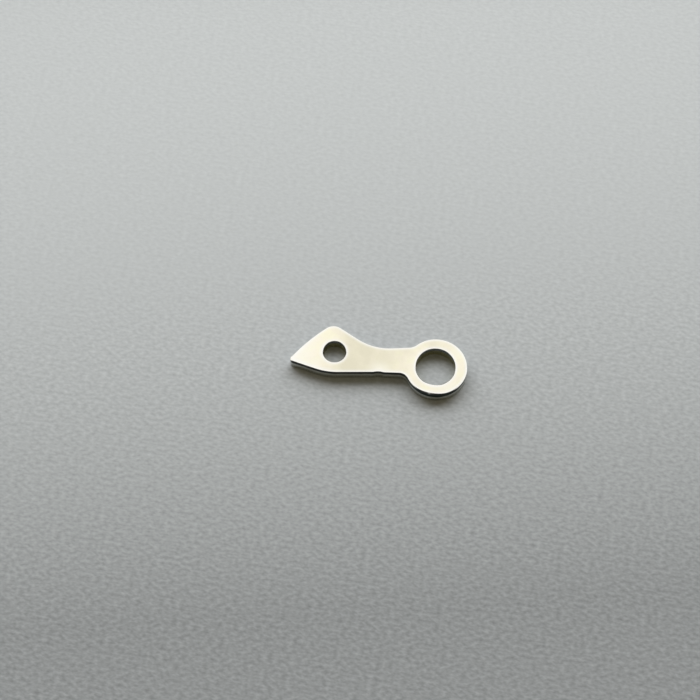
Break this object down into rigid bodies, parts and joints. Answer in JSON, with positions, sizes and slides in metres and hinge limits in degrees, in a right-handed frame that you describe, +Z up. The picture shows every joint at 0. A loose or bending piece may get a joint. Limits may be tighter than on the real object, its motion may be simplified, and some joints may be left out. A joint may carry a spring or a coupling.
{
  "type": "date jumper",
  "caption": "Flat steel lever with a bored eye at one end and a wide hooked beak at the other, which drops between the teeth of a date ring.",
  "frame": {"origin": "on the axis of the pivot bore, at the lever's underside", "axes": "+Z up through the thickness, out of the upper face; +X from the small hole towards the eye, so the beak points to -X and its crest lies on the +Y side"},
  "size_m": [0.0055, 0.002, 0.0004],
  "materials": {
    "steel": "hardened carbon steel, faces lapped to an even satin, blanked sides left darker, edges lightly broken"
  },
  "bodies": {
    "root": {"jumper_lever": "steel"}
  },
  "joints": []
}
